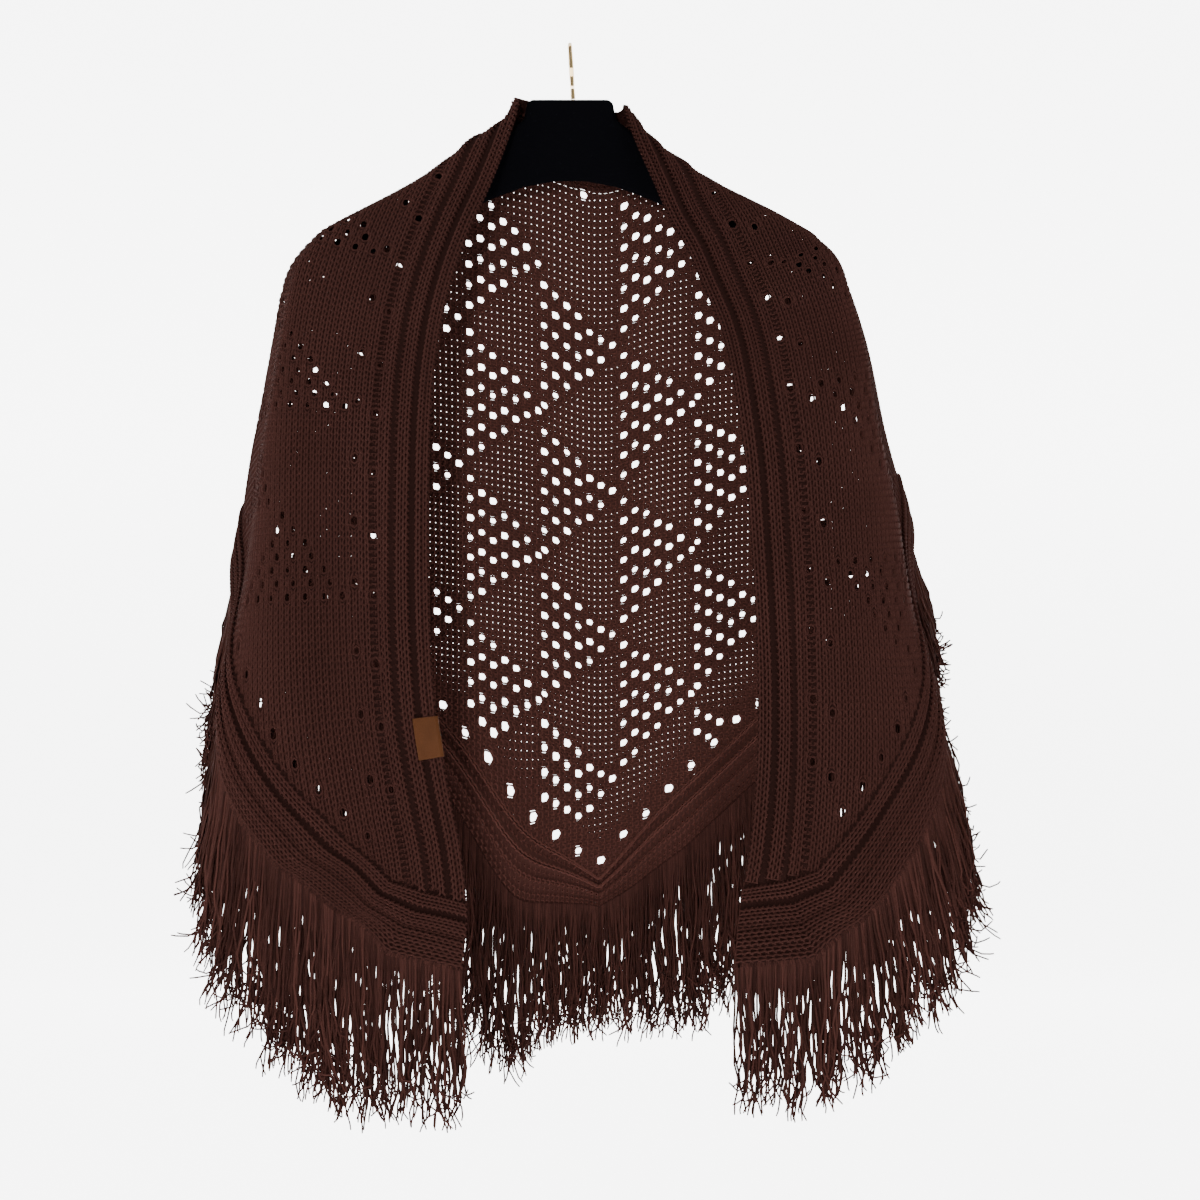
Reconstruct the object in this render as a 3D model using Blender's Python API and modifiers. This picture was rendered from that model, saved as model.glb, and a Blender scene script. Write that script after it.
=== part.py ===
"""A knitted triangle shawl with a fringe, hanging open on a velvet hanger.

The shawl is laid out flat first, as it is knitted: u runs along the long edge from its middle, towards
the right tip when positive, and v runs from the long edge to the apex. Each piece is cut and thickened
in that flat pattern, and drape() then hangs it over the hanger. Sizes are in millimetres, and MM turns
them into the scene's metres. X runs to the right, Y to the back and Z up, from the top of the hook.
"""

import math

import bmesh
import bpy
import numpy as np
from mathutils import Vector

MM = 0.001

# The flat shawl.
BAND = 52.0  # width of the ribbed band along the long edge
CELL_U = 21.12  # one cell of the pattern's grid along the long edge
HEM_SLOPE = 0.759  # drop of the short sides for each millimetre along the long edge
CELL_V = CELL_U * HEM_SLOPE
CELLS = 32  # cells from the middle to the tip, and from the band to the apex
FIELD_APEX = BAND + CELLS * CELL_V
WALL = 3.0  # thickness of the knitted cloth
GAP = 0.5  # between neighbouring pieces at a seam

# The short sides' ribbed border, from its inner line to the fringe: (u, v), from the apex to the tip.
BORDER_INNER = ((0.0, FIELD_APEX), (3 * CELL_U, FIELD_APEX - 3 * CELL_V), (CELLS * CELL_U, BAND),
                (685.3, 28.0), (695.0, 0.0))
BORDER_OUTER = ((0.0, 594.0), (66.4, 562.0), (708.3, 89.0), (737.0, 58.0), (744.0, 0.0))
BORDER_STEPS = (3, CELLS - 3, 2, 2)  # stations along each stretch of the border

# Ribs and eyelets.
RIBS = 4  # across the band and across the border
RIB_RISE = 2.2  # how far a rib stands out from the cloth's outer face
EYELET = 8.0  # width and height of an eyelet
REPEAT_U, REPEAT_V = 3, 7  # cells in one lace group's column and in its repeat down the cloth
EYELET_ROWS = ((0, 2, 4), (1, 3), (2,))  # cut rows in each cell column of a group
GROUP_TOPS = (1, 5)  # first row of the groups in even and in odd columns

# Where the pattern is divided into pieces, in cells from the middle.
PANEL_CUTS = {"back": (-8, 8), "shoulder_left": (-19, -8), "shoulder_right": (8, 19),
              "front_left": (-32, -19), "front_right": (19, 32)}
BAND_CUTS = {"front_left": (-32, -8), "neck": (-8, 8), "front_right": (8, 32)}
BORDER_CUT = 16  # station where each border passes from the back to the front

# The fringe: unravelled ends, gathered here into locks that hang from a narrow backing strip.
FRINGE_STRIP = (1.2, 4.2)  # where its backing strip begins and ends beyond the hem
LOCK_END = 0.62  # width of a lock's end, as a share of its root's
LOCK_SPREAD = {-1: 0.12, 1: 0.2}  # how far locks swing outwards at the sides, for each millimetre of length
# Its length on each side: (u from the apex's line, length).
FRINGE_LENGTH = {
    -1: ((0, 112), (30, 118), (60, 142), (100, 186), (200, 170), (400, 145), (560, 140),
         (620, 150), (682, 162), (713, 162), (744, 128)),
    1: ((0, 112), (30, 130), (62, 152), (93, 166), (200, 155), (400, 115), (540, 108),
        (589, 120), (650, 128), (682, 122), (713, 132), (744, 118)),
}

# The drape. Each front hangs from its edge: (u, x, z) along the long edge, from the neck to the tip.
EDGE = {
    -1: ((62, 36, -44), (108, 50, -85), (143, 61, -114), (184, 75, -147), (222, 86, -178),
         (265, 95, -213), (302, 100, -244), (358, 104, -291), (452, 105, -394), (521, 103, -469),
         (566, 99, -518), (625, 88, -581), (658, 81, -615), (706, 76, -666), (744, 79, -705)),
    1: ((30, 40, -48), (70, 50, -77), (118, 65, -112), (155, 76, -138), (196, 91, -166),
        (229, 100, -188), (285, 115, -225), (344, 124, -265), (407, 133, -332), (446, 136, -375),
        (512, 140, -446), (617, 140, -561), (670, 135, -617), (716, 127, -667), (744, 124, -702)),
}
# The outline of each side seen from the front: (z, half width).
OUTLINE = {
    -1: ((-43, 38), (-57, 49), (-76, 78), (-105, 119), (-134, 174), (-148, 204), (-169, 220),
         (-190, 225), (-218, 229), (-265, 237), (-318, 247), (-400, 259), (-462, 271),
         (-516, 279), (-600, 286), (-700, 290)),
    1: ((-43, 38), (-60, 52), (-76, 66), (-102, 102), (-133, 163), (-150, 194), (-166, 208),
        (-190, 217), (-228, 229), (-299, 244), (-361, 260), (-424, 271), (-502, 289),
        (-540, 298), (-600, 306), (-700, 317)),
}
SHOULDER = {-1: (230, 98, 0.737, 0.676), 1: (226, 110, 0.72, 0.69)}  # u, v and the way down the side
NECK_X, NECK_Z = 23.0, -52.0  # the middle of the long edge, behind the hanger
NECK_RISE, NECK_RISE_WIDTH = 10.0, 35.0
BACK_LIFT = 0.14  # how much the back's rows rise outwards, for each millimetre
BACK_STRETCH = 1.067  # the back stretches under its weight
# The back sags left of its apex: how far, its u and half width, and the v where it starts and is full.
SAG, SAG_U, SAG_WIDTH, SAG_V = 40.0, -72.0, 44.0, (430.0, 560.0)
FRONT_DEPTH, BACK_DEPTH = 115.0, 95.0  # how far the cloth stands out in front and behind, low down
DEPTH_REACH = 190.0  # the drop over which it gets there
LAP = 9.5  # half the depth of the cloth where it passes over the hanger
TURN_TOP, TURN_LOW = 6.0, 30.0  # how tightly the side turns at the shoulder and at the hem
RIDGE_SOFT = 3.0  # how softly the cloth turns over the hanger
RIDGE_UP = (0.54, 0.84)  # the direction straight out of the ridge
SIDE_ROWS = 5  # the outline's row at which the ridge ends and the side begins
# The hanger's corners push the edge outwards where it turns to the front: (along the edge, push).
NECK_TURN = {-1: (45.0, 15.0), 1: (20.0, 2.0)}
LEVEL_SOFT, LEVEL_SPREAD = 5.0, 0.33  # how softly the rows turn from the front to the back
# Main folds: side of the cloth (-1 front, 1 back), x and z at the top and the bottom, half width, depth.
FOLDS = (
    (-1, -196, -230, -172, -500, 26, 13),
    (-1, -140, -330, -150, -620, 20, 6),
    (-1, 205, -260, 232, -560, 24, 8),
    (-1, 168, -420, 176, -640, 18, 5),
    (1, -165, -210, -196, -520, 30, 14),
    (1, -70, -260, -84, -600, 34, 9),
    (1, 92, -240, 104, -600, 30, 8),
    (1, 178, -220, 215, -560, 30, 13),
)
SIDE_FOLD = 15.0  # depth of the two flutes down each side

# The hanger: a plank cut to shoulders, and a wire hook turned to the side.
HANGER_THICK = 9.0
HANGER_TOP = -41.3
# The right half's outline from the top to the foot of the arch: (x, z).
HANGER_SHOULDER = ((30.0, HANGER_TOP), (33.5, -44.0), (36.0, -57.0), (60.0, -76.0), (100.0, -107.0),
                   (150.0, -134.5), (190.0, -155.0), (193.0, -178.0), (60.0, -118.0))
HANGER_ARCH = -104.0  # top of the arch under the neck
HOOK_WIRE = 3.6
HOOK_INSIDE = 16.0  # radius inside the hook
HOOK_LEAN = 0.06  # how far the wire leans, for each millimetre of height

# The leather label, folded over the left front's inner edge.
LABEL_U = (566.0, 594.0)
LABEL_REACH = 17.0
LABEL_THICK = 1.2

COLOURS = {
    "yarn": ((0.085, 0.040, 0.030), 0.95, 0.0),
    "leather": ((0.36, 0.17, 0.06), 0.6, 0.0),
    "velvet": ((0.008, 0.008, 0.010), 0.95, 0.0),
    "gold_wire": ((0.72, 0.50, 0.20), 0.25, 1.0),
}


def smooth(table, column, at):
    """Reads a column of a table on a smooth curve through its rows, running straight on past the ends."""
    rows = np.array(table, float)
    x, y = rows[:, 0], rows[:, column]
    if x[0] > x[-1]:
        x, y = x[::-1], y[::-1]
    slope = np.gradient(y, x)
    i = np.clip(np.searchsorted(x, at) - 1, 0, len(x) - 2)
    step = x[i + 1] - x[i]
    along = (at - x[i]) / step
    t = np.clip(along, 0, 1)
    start, end = slope[i] * step, slope[i + 1] * step
    inside = (
        y[i] * (1 + 2 * t) * (1 - t) ** 2
        + start * t * (1 - t) ** 2
        + y[i + 1] * t * t * (3 - 2 * t)
        + end * t * t * (t - 1)
    )
    return inside + start * np.minimum(along, 0) + end * np.maximum(along - 1, 0)


def soft_step(t):
    t = np.clip(t, 0, 1)
    return t * t * (3 - 2 * t)


def soft_plus(value, softness):
    return softness * np.logaddexp(0, value / softness)


def ridge_height(side, x):
    """Height of the cloth's ridge over the hanger, at a distance x from the middle."""
    rows = [(half, z) for z, half in OUTLINE[side][:6]]
    return smooth(rows, 1, np.clip(x, rows[0][0], rows[-1][0]))


def clamp_to_outline(side, x, z):
    """Brings points outside the shawl's outline back to it, with how far outside it they were."""
    wide = smooth(OUTLINE[side][SIDE_ROWS:], 1, np.minimum(z, OUTLINE[side][SIDE_ROWS][0]))
    turn = TURN_TOP + (TURN_LOW - TURN_TOP) * soft_step((-130 - z) / 350)
    past_side = soft_plus(x - wide, turn)
    x = x - past_side
    past_ridge = soft_plus((z - ridge_height(side, x)) * RIDGE_UP[1], RIDGE_SOFT)
    return x - past_ridge * RIDGE_UP[0], z - past_ridge * RIDGE_UP[1], past_side + past_ridge


def hang_side(side, u, v):
    """Where one side of the shawl hangs: side is -1 for the left half and 1 for the right."""
    a = side * u
    # The front hangs from its edge, with its rows at right angles to that edge.
    edge_x, edge_z = smooth(EDGE[side], 1, a), smooth(EDGE[side], 2, a)
    run_x = smooth(EDGE[side], 1, a + 8) - smooth(EDGE[side], 1, a - 8)
    run_z = smooth(EDGE[side], 2, a + 8) - smooth(EDGE[side], 2, a - 8)
    run = np.hypot(run_x, run_z)
    front_x = edge_x - v * run_z / run
    front_z = edge_z + v * run_x / run
    # The back hangs from the neck, with its rows level but for their rise towards the sides.
    back_x = a + side * NECK_X
    rise = NECK_RISE * (1 - np.exp(-((a / NECK_RISE_WIDTH) ** 2))) + BACK_LIFT * soft_plus(a - 20, 12)
    sag = SAG * np.exp(-(((u - SAG_U) / SAG_WIDTH) ** 2)) * soft_step((v - SAG_V[0]) / (SAG_V[1] - SAG_V[0]))
    back_z = NECK_Z + rise - BACK_STRETCH * v - sag
    # Below the shoulder the rows of the front and the back meet at one level round the side.
    top_u, top_v, down_u, down_v = SHOULDER[side]
    below = (a - top_u) * down_u + (v - top_v) * down_v
    softness = LEVEL_SOFT + LEVEL_SPREAD * soft_plus(below, 10)
    level = -softness * np.logaddexp(-front_z / softness, -back_z / softness)
    joined = soft_step((below + 20) / 70)
    front_x, front_z, past_front = clamp_to_outline(side, front_x, front_z + (level - front_z) * joined)
    back_x, back_z, past_back = clamp_to_outline(side, back_x, back_z + (level - back_z) * joined)
    behind = past_front / (past_front + past_back)
    x = front_x + (back_x - front_x) * behind
    z = front_z + (back_z - front_z) * behind
    out = 1 - np.exp(-soft_plus(ridge_height(side, x) - z, 3) / DEPTH_REACH)
    depth_front, depth_back = LAP + FRONT_DEPTH * out, LAP + BACK_DEPTH * out
    y = -depth_front + (depth_front + depth_back) * behind
    x = x - SIDE_FOLD * out * np.sin(2 * math.pi * behind) ** 2
    turn_at, push = NECK_TURN[side]
    x = x + push * np.exp(-(((a - turn_at) / 16) ** 2) - (v / 20) ** 2)
    return np.stack([side * x, y, z], -1), behind


def hang(u, v):
    """The shawl's middle surface at (u, v), in millimetres."""
    left, left_round = hang_side(-1, u, v)
    right, right_round = hang_side(1, u, v)
    share = soft_step((u + 25) / 50)
    place = left + (right - left) * share[..., None]
    behind = left_round + (right_round - left_round) * share
    for face, x0, z0, x1, z1, width, depth in FOLDS:
        along = (z0 - place[..., 2]) / (z0 - z1)
        from_fold = (place[..., 0] - x0 - (x1 - x0) * along) / width
        length = soft_step(along * 3) * (1 - 0.6 * soft_step((along - 0.9) * 2))
        on_face = soft_step(1.4 - 2 * behind if face < 0 else 2 * behind - 0.6)
        place[..., 1] -= face * depth * np.exp(-(from_fold**2)) * length * on_face
    return place


def drape(u, v, offset):
    """Points at the given distances outwards from the shawl's middle surface."""
    step = 0.5
    middle = hang(u, v)
    along_u = hang(u + step, v) - hang(u - step, v)
    along_v = hang(u, v + step) - hang(u, v - step)
    outwards = np.cross(along_u, along_v)
    outwards /= np.linalg.norm(outwards, axis=-1, keepdims=True)
    return middle + outwards * offset[..., None]


def make_material(name):
    colour, roughness, metallic = COLOURS[name]
    material = bpy.data.materials.new(name)
    material.use_nodes = True
    shader = material.node_tree.nodes["Principled BSDF"]
    shader.inputs["Base Color"].default_value = (*colour, 1)
    shader.inputs["Roughness"].default_value = roughness
    shader.inputs["Metallic"].default_value = metallic
    return material


def add_object(name, bm, material):
    """Finishes a mesh as the named piece of the shawl."""
    bmesh.ops.recalc_face_normals(bm, faces=bm.faces)
    mesh = bpy.data.meshes.new(name)
    bm.to_mesh(mesh)
    bm.free()
    mesh.materials.append(bpy.data.materials[material])
    piece = bpy.data.objects.new(name, mesh)
    bpy.data.collections["knitted_triangle_shawl"].objects.link(piece)
    return piece


def thicken(bm):
    """Gives the flat pattern its inner and outer layers, at heights 0 and 1."""
    grown = bmesh.ops.extrude_face_region(bm, geom=bm.faces[:])
    for item in grown["geom"]:
        if isinstance(item, bmesh.types.BMVert):
            item.co.z = 1
    # The walls of two neighbouring pieces are split along the same diagonal, and so stay parallel.
    for wall in [face for face in bm.faces if len({v.co.z for v in face.verts}) == 2]:
        low, high = ([v for v in wall.verts if v.co.z == height] for height in (0, 1))
        ends = min(low, key=along_seam), max(high, key=along_seam)
        bmesh.utils.face_split(wall, *ends)


def along_seam(vertex):
    return vertex.co.x + 0.7 * vertex.co.y


def drape_mesh(bm, inner=-WALL / 2, outer=WALL / 2):
    """Hangs a thickened pattern. The ribs' rise is added to the outer layer alone."""
    rise = bm.verts.layers.float.get("rise")
    bm.verts.ensure_lookup_table()
    flat = np.array([(w.co.x, w.co.y, w.co.z, w[rise] if rise else 0) for w in bm.verts])
    offset = inner + (outer - inner) * flat[:, 2] + flat[:, 2] * flat[:, 3]
    for vertex, place in zip(bm.verts, drape(flat[:, 0], flat[:, 1], offset) * MM):
        vertex.co = place


def ribbed_strip(name, stations):
    """A strip between pairs of flat points, (seam, edge), with ribs up to one along its edge."""
    bm = bmesh.new()
    rise = bm.verts.layers.float.new("rise")
    lines = 2 * RIBS - 1
    grid = []
    for inner, outer in stations:
        row = []
        for line in range(lines + 1):
            share = line / lines
            point = [a + (b - a) * share for a, b in zip(inner, outer)]
            row.append(bm.verts.new((*point, 0)))
            row[-1][rise] = RIB_RISE if line % 2 else 0
        grid.append(row)
    for row, following in zip(grid, grid[1:]):
        for k in range(lines):
            bm.faces.new((row[k], row[k + 1], following[k + 1], following[k]))
    thicken(bm)
    drape_mesh(bm)
    return add_object(name, bm, "yarn")


def is_eyelet(i, j):
    """Whether the lace has one of its cut eyelets in column i and row j of the pattern's grid."""
    group, column = divmod(i - 1, REPEAT_U)
    top = GROUP_TOPS[group % 2]
    return j >= top and (j - top) % REPEAT_V in EYELET_ROWS[column] and i < CELLS - 2 - j


def make_panel(name, first, last):
    """One panel of the lace field, between two lines of the grid, with its eyelets cut through."""
    bm = bmesh.new()
    corners = {}

    def corner(i, j):
        if (i, j) not in corners:
            u = i * CELL_U + GAP / 2 * ((i == first) - (i == last)) * (abs(i) < CELLS)
            corners[i, j] = bm.verts.new((u, BAND + GAP * (j == 0) + j * CELL_V, 0))
        return corners[i, j]

    eyelets = []
    for i in range(first, last):
        from_middle = i if i >= 0 else -1 - i
        for j in range(CELLS - from_middle):
            near, far = (i, i + 1) if i >= 0 else (i + 1, i)
            if j == CELLS - 1 - from_middle:
                bm.faces.new((corner(near, j), corner(far, j), corner(near, j + 1)))
                continue
            face = bm.faces.new((corner(i, j), corner(i + 1, j), corner(i + 1, j + 1), corner(i, j + 1)))
            if is_eyelet(i, j) and from_middle + j < CELLS - 2:
                eyelets.append(face)
    bmesh.ops.inset_individual(bm, faces=eyelets, thickness=(CELL_V - EYELET) / 2)
    for face in eyelets:
        middle = face.calc_center_median().x
        for vertex in face.verts:
            vertex.co.x = middle + math.copysign(EYELET / 2, vertex.co.x - middle)
    bmesh.ops.delete(bm, geom=eyelets, context="FACES")
    thicken(bm)
    drape_mesh(bm)
    add_object(f"panel_{name}", bm, "yarn")
    return len(eyelets)


def make_band(name, first, last):
    stations = []
    for i in range(first, last + 1):
        u = i * CELL_U
        seam = GAP / 2 * ((i == first) - (i == last))
        edge = math.copysign(BORDER_INNER[-1][0], i) if abs(i) == CELLS else u
        stations.append([(u + seam, BAND), (edge + seam, 0)])
    ribbed_strip(f"band_{name}", stations)


def border_stations(side):
    """Pairs of points across the border, from the apex to the tip."""
    found = []
    for k, steps in enumerate(BORDER_STEPS):
        for step in range(steps + (k == len(BORDER_STEPS) - 1)):
            share = step / steps
            inner = [a + (b - a) * share for a, b in zip(BORDER_INNER[k], BORDER_INNER[k + 1])]
            outer = [a + (b - a) * share for a, b in zip(BORDER_OUTER[k], BORDER_OUTER[k + 1])]
            across = np.subtract(outer, inner)
            inner = np.add(inner, across * GAP / np.linalg.norm(across))
            found.append([(side * p[0], p[1]) for p in (inner, outer)])
    return found


def make_borders(side, name):
    stations = border_stations(side)
    along = np.subtract(stations[BORDER_CUT + 1][1], stations[BORDER_CUT][1])
    seam = along / np.linalg.norm(along) * GAP
    back, front = stations[: BORDER_CUT + 1], stations[BORDER_CUT:]
    back[0] = [(side * GAP / 2, v) for _, v in back[0]]
    front[0] = [tuple(np.add(point, seam)) for point in front[0]]
    ribbed_strip(f"border_back_{name}", back)
    ribbed_strip(f"border_front_{name}", front)


def make_fringe(side, name, start, end, generator):
    """Locks hanging from a narrow strip beside the short side, between two of its stations."""
    near, far, u = [], [], []
    for inner, outer in border_stations(side)[start : end + 1]:
        out = np.subtract(outer, inner) / math.dist(inner, outer)
        near.append(outer + out * FRINGE_STRIP[0])
        far.append(outer + out * FRINGE_STRIP[1])
        u.append(outer[0])
    along = (near[1] - near[0]) / np.linalg.norm(near[1] - near[0])
    for line in (near, far):
        line[0] = line[0] + along * GAP
    flat = np.array([near, far, far, near])
    offset = np.array([[-WALL / 2], [-WALL / 2], [WALL / 2], [WALL / 2]]) * np.ones(len(u))
    hung = drape(flat[..., 0], flat[..., 1], offset).swapaxes(0, 1)
    rings, middles = halved(hung), halved(np.array(u))
    bm = bmesh.new()
    grid = [[bm.verts.new(point * MM) for point in ring] for ring in rings]
    roots = []
    for ring, following in zip(grid, grid[1:]):
        for j in range(4):
            after = (j + 1) % 4
            wall = bm.faces.new((ring[j], ring[after], following[after], following[j]))
            if j == 1:
                roots.append(wall)
    bm.faces.new(grid[0])
    bm.faces.new(grid[-1])
    for wall, flat_u in zip(roots, (middles[1:] + middles[:-1]) / 2):
        grow_lock(bm, wall, abs(flat_u), side, generator)
    add_object(f"fringe_{name}", bm, "yarn")


def halved(values):
    """The same rows with a row halfway between each two."""
    rows = np.repeat(values, 2, axis=0)[:-1]
    rows[1::2] = (values[1:] + values[:-1]) / 2
    return rows


def grow_lock(bm, root, u, side, generator):
    """Draws a root face out into a hanging lock that narrows to its end."""
    length = float(smooth(FRINGE_LENGTH[side], 1, np.array(u))) * generator.uniform(0.96, 1.04)
    sway = generator.uniform(-1.2, 1.2, 2)
    middle = root.calc_center_median()
    spread = LOCK_SPREAD[side] * length * float(soft_step((abs(middle.x) / MM - 190) / 75))
    end = middle + Vector((side * spread + sway[0], sway[1], -length)) * MM
    lock = bmesh.ops.extrude_discrete_faces(bm, faces=[root])["faces"][0]
    for vertex in lock.verts:
        flat = (vertex.co - middle) * LOCK_END
        flat.z = 0
        vertex.co = end + flat


def make_label():
    """A strip folded over the left front's inner edge, clear of the ribs on its outer face."""
    outside, inside = WALL / 2 + RIB_RISE + 0.3, -WALL / 2 - 0.3
    fold = 0.4
    # The strip's profile across the edge: (v, distance outwards), first its lining and then its face.
    lining = [(LABEL_REACH, outside), (fold, outside), (-fold, outside - 0.3),
              (-fold, inside + 0.3), (fold, inside), (LABEL_REACH, inside)]
    face = [(LABEL_REACH, outside + LABEL_THICK), (fold, outside + LABEL_THICK),
            (-fold - LABEL_THICK, outside - 0.6), (-fold - LABEL_THICK, inside + 0.6),
            (fold, inside - LABEL_THICK), (LABEL_REACH, inside - LABEL_THICK)]
    profile = lining + face[::-1]
    bm = bmesh.new()
    rings = []
    for k in range(4):
        u = -(LABEL_U[0] + (LABEL_U[1] - LABEL_U[0]) * k / 3)
        flat = np.array(profile)
        places = drape(np.full(len(flat), u), np.maximum(flat[:, 0], 0), flat[:, 1])
        across = drape(np.array([u, u]), np.array([0.0, 5.0]), np.zeros(2))
        inwards = (across[0] - across[1]) / np.linalg.norm(across[0] - across[1])
        places += inwards * np.maximum(-flat[:, :1], 0)
        rings.append([bm.verts.new(place * MM) for place in places])
    count = len(profile)
    for ring, following in zip(rings, rings[1:]):
        for k in range(count):
            after = (k + 1) % count
            bm.faces.new((ring[k], ring[after], following[after], following[k]))
    half = count // 2
    for ring in (rings[0], rings[-1]):
        for k in range(half - 1):
            bm.faces.new((ring[k], ring[k + 1], ring[count - 2 - k], ring[count - 1 - k]))
    add_object("label", bm, "leather")


def make_hanger():
    """The plank, as a flat outline with thickness and rounded edges."""
    half, foot = HANGER_SHOULDER[-1]
    arch = [(half * t, HANGER_ARCH + (foot - HANGER_ARCH) * t * t) for t in (0.6, 0.2, -0.2, -0.6)]
    outline = [*HANGER_SHOULDER, *arch, *((-x, z) for x, z in reversed(HANGER_SHOULDER))]
    bm = bmesh.new()
    corners = [bm.verts.new((x * MM, -HANGER_THICK / 2 * MM, z * MM)) for x, z in outline]
    face = bm.faces.new(corners)
    grown = bmesh.ops.extrude_face_region(bm, geom=[face])
    moved = [item for item in grown["geom"] if isinstance(item, bmesh.types.BMVert)]
    bmesh.ops.translate(bm, verts=moved, vec=(0, HANGER_THICK * MM, 0))
    hanger = add_object("hanger", bm, "velvet")
    bevel = hanger.modifiers.new("rounded_edges", "BEVEL")
    bevel.width = 3.0 * MM
    bevel.segments = 2
    bevel.limit_method = "ANGLE"
    bevel.angle_limit = math.radians(60)


def make_hook():
    """A wire rising from the hanger and bent round to a hook, whose inside top is the origin."""
    radius = HOOK_INSIDE + HOOK_WIRE / 2
    centre = -HOOK_INSIDE
    foot = HANGER_TOP + GAP
    path = [(0.0, foot), (0.0, foot + 4.0), (3.0, foot + 7.5)]
    path += [(radius * math.cos(math.radians(t)), centre + radius * math.sin(math.radians(t)))
             for t in range(-50, 211, 20)]
    data = bpy.data.curves.new("hook", "CURVE")
    data.dimensions = "3D"
    data.bevel_depth = HOOK_WIRE / 2 * MM
    data.bevel_resolution = 2
    data.use_fill_caps = True
    spline = data.splines.new("POLY")
    spline.points.add(len(path) - 1)
    for point, (out, z) in zip(spline.points, path):
        point.co = (-HOOK_LEAN * z * MM, out * MM, z * MM, 1)
    data.materials.append(bpy.data.materials["gold_wire"])
    hook = bpy.data.objects.new("hook", data)
    bpy.data.collections["knitted_triangle_shawl"].objects.link(hook)


def main():
    for thing in list(bpy.data.objects):
        bpy.data.objects.remove(thing, do_unlink=True)
    collection = bpy.data.collections.new("knitted_triangle_shawl")
    bpy.context.scene.collection.children.link(collection)
    for name in COLOURS:
        make_material(name)
    for name, (first, last) in PANEL_CUTS.items():
        make_panel(name, first, last)
    for name, (first, last) in BAND_CUTS.items():
        make_band(name, first, last)
    generator = np.random.default_rng(7)
    tip = sum(BORDER_STEPS)
    for side, name in ((-1, "left"), (1, "right")):
        make_borders(side, name)
        make_fringe(side, f"back_{name}", 0, BORDER_CUT, generator)
        make_fringe(side, f"front_{name}", BORDER_CUT, tip, generator)
    make_label()
    make_hanger()
    make_hook()


main()
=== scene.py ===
"""The looks of a knitted triangle shawl that hangs open on a velvet hanger.

The shawl's flat pattern is hung by hang(), as in the solids: u runs along the long edge from its middle
and v from that edge to the apex. Each piece of cloth is a thin ground with its yarn looped through it,
and the fringe is made of single strands. Sizes are in millimetres unless a comment says otherwise.
"""

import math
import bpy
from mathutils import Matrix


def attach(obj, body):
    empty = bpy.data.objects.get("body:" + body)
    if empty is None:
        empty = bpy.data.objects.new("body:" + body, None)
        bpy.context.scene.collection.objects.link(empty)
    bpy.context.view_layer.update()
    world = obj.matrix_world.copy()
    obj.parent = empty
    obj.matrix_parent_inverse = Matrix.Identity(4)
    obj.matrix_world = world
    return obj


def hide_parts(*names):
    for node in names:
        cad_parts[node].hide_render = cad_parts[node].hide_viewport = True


bl_info = {
    "name": "Knitted triangle shawl",
    "version": (1, 0, 0),
    "blender": (4, 5, 0),
    "location": "View3D > Sidebar > Shawl",
    "description": "Builds a knitted lace shawl with a fringe on its hanger",
    "category": "Object",
}

import bmesh
import bpy
import numpy as np
from bpy.props import FloatProperty, FloatVectorProperty, IntProperty, PointerProperty
from mathutils import Vector

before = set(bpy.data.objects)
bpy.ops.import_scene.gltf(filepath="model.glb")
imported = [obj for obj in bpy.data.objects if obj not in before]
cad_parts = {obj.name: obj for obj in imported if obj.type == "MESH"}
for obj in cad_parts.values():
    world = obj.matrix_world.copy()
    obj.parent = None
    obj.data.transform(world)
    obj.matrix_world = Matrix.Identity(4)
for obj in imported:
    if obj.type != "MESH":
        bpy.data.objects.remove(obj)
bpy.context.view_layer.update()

MM = 0.001

# The flat shawl, as in the solids.
BAND = 52.0  # its width
CELL_U = 21.12  # the solids' cells along u
HEM_SLOPE = 0.759  # of the short sides
CELLS = 32  # from the middle to either end of the field
CELL_V = CELL_U * HEM_SLOPE
FIELD_APEX = BAND + CELLS * CELL_V
BORDER_INNER = ((0.0, FIELD_APEX), (3 * CELL_U, FIELD_APEX - 3 * CELL_V), (CELLS * CELL_U, BAND),
                (685.3, 28.0), (695.0, 0.0))
BORDER_OUTER = ((0.0, 594.0), (66.4, 562.0), (708.3, 89.0), (737.0, 58.0), (744.0, 0.0))
BORDER_STEPS = (3, CELLS - 3, 2, 2)  # from each corner of the border's lines to the next
BORDER_CUT = 16  # the step at which the border and the fringe pass from the back to the front
BORDER_WIDE = 49.0
APEX_ROUND = (7.0, 20.0)  # how far the border's rows are rounded at the apex, and how wide
# Pieces of the field and of the band, by the cells at their ends.
PANELS = {"back": (-8, 8), "shoulder_left": (-19, -8), "shoulder_right": (8, 19),
          "front_left": (-32, -19), "front_right": (19, 32)}
BANDS = {"front_left": (-32, -8), "neck": (-8, 8), "front_right": (8, 32)}

# The knitting, counted in stitches: courses follow each other along u, and wales lie side by side.
COURSE, WALE = 4.557, 4.941
FIELD_SHIFT = -1.2  # of the field's courses along u
RIB_COLUMNS = 10.5  # wales of the band and of the border
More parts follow.
